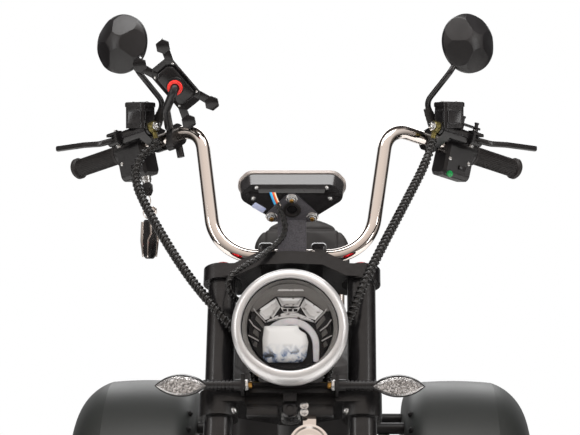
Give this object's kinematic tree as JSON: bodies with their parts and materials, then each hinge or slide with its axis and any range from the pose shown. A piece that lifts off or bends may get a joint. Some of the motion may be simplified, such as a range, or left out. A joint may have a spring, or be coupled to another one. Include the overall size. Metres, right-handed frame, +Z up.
{
  "type": "electric chopper trike",
  "caption": "Electric chopper trike with a raked fork, high chrome handlebar, round headlamp, footboard, stepped seat with backrest and wide fenders over fat rear tyres.",
  "frame": {"origin": "on the ground, at the middle of the vehicle's length and width", "axes": "+Z up, the front of the trike towards -Y, the rider's left towards +X"},
  "size_m": [1.018, 1.7936, 1.3463],
  "materials": {
    "tyre": "matt rubber",
    "cast_alloy": "satin black paint on cast alloy",
    "disc_steel": "ground",
    "black_steel": "satin black powder coat",
    "black_plastic": "fine-textured",
    "mat_rubber": "ribbed",
    "fender_paint": "matt dark grey paint",
    "red_lens": "clear red",
    "shock_steel": "satin black",
    "seat_leather": "grained leatherette",
    "bar_chrome": "polished",
    "clamp_black": "semi-gloss black",
    "zinc_steel": "zinc plated",
    "fork_black": "satin black",
    "red_anodised": "red anodised",
    "slider_chrome": "hard chrome",
    "grip_rubber": "ribbed",
    "mirror_glass": "silvered",
    "ring_satin": "satin",
    "clear_lens": "clear",
    "gloss_black": "gloss black",
    "reflector": "metallised plastic",
    "horn_chrome": "polished",
    "silver_plastic": "silver",
    "dash_glass": "smoked",
    "bracket_grey": "satin grey",
    "zinc_fitting": "olive zinc",
    "hose_wrap": "spiral wrap",
    "lead_rubber": "smooth"
  },
  "bodies": {
    "chassis": {"rear_axle": "black_steel", "trailing_arms": "black_steel", "frame_spine": "black_steel", "deck_bearers": "black_steel", "footboard": "black_plastic", "floor_mats": "mat_rubber", "rear_frame": "black_steel", "rear_fender_left": "fender_paint", "rear_fender_right": "fender_paint", "tail_lamps": "red_lens", "rear_shocks": "shock_steel", "seat_box": "black_steel", "seat_pan": "black_plastic", "seat_cushion": "seat_leather", "backrest_hoop": "bar_chrome", "backrest_pad": "seat_leather"},
    "steering": {"front_fender": "fender_paint", "front_fender_stays": "black_steel", "lower_clamp": "clamp_black", "upper_clamp": "clamp_black", "steering_stem": "zinc_steel", "fork_tubes": "fork_black", "fork_caps": "red_anodised", "fork_sliders": "slider_chrome", "front_axle": "zinc_steel", "front_caliper": "clamp_black", "handlebar": "bar_chrome", "bar_risers": "clamp_black", "grips": "grip_rubber", "switch_housings": "black_plastic", "brake_cylinders": "clamp_black", "brake_levers": "clamp_black", "mirror_shells": "black_plastic", "mirror_glasses": "mirror_glass", "mirror_stems": "black_steel", "headlamp_ring": "ring_satin", "headlamp_lens": "clear_lens", "headlamp_bowl": "gloss_black", "headlamp_modules": "reflector", "lamp_bracket": "black_steel", "indicators": "black_plastic", "indicator_lenses": "clear_lens", "horn": "horn_chrome", "dash_housing": "black_plastic", "dash_rim": "silver_plastic", "dash_glass": "dash_glass", "dash_bracket": "bracket_grey", "phone_cradle": "black_plastic", "phone_clamp": "black_plastic", "hose_fittings": "zinc_fitting", "brake_hose_left": "hose_wrap", "brake_hose_right": "hose_wrap", "dash_lead": "lead_rubber"},
    "front_wheel": {"front_tyre": "tyre", "front_rim": "cast_alloy", "front_disc": "disc_steel"},
    "rear_wheel_left": {"rear_tyre_left": "tyre", "rear_rim_left": "cast_alloy"},
    "rear_wheel_right": {"rear_tyre_right": "tyre", "rear_rim_right": "cast_alloy"}
  },
  "joints": [
    {"name": "steering", "type": "hinge", "parent": "chassis", "child": "steering", "pos_m": [0, -0.6091, 0.22003], "axis": [0, 0.4695, 0.8829], "range_deg": [-36, 36]},
    {"name": "front_wheel_spin", "type": "hinge", "parent": "steering", "child": "front_wheel", "pos_m": [0, -0.65325, 0.2435], "axis": [1, 0, 0], "continuous": true},
    {"name": "rear_wheel_left_spin", "type": "hinge", "parent": "chassis", "child": "rear_wheel_left", "pos_m": [0.369, 0.57675, 0.2385], "axis": [1, 0, 0], "continuous": true},
    {"name": "rear_wheel_right_spin", "type": "hinge", "parent": "chassis", "child": "rear_wheel_right", "pos_m": [-0.369, 0.57675, 0.2385], "axis": [1, 0, 0], "continuous": true}
  ]
}
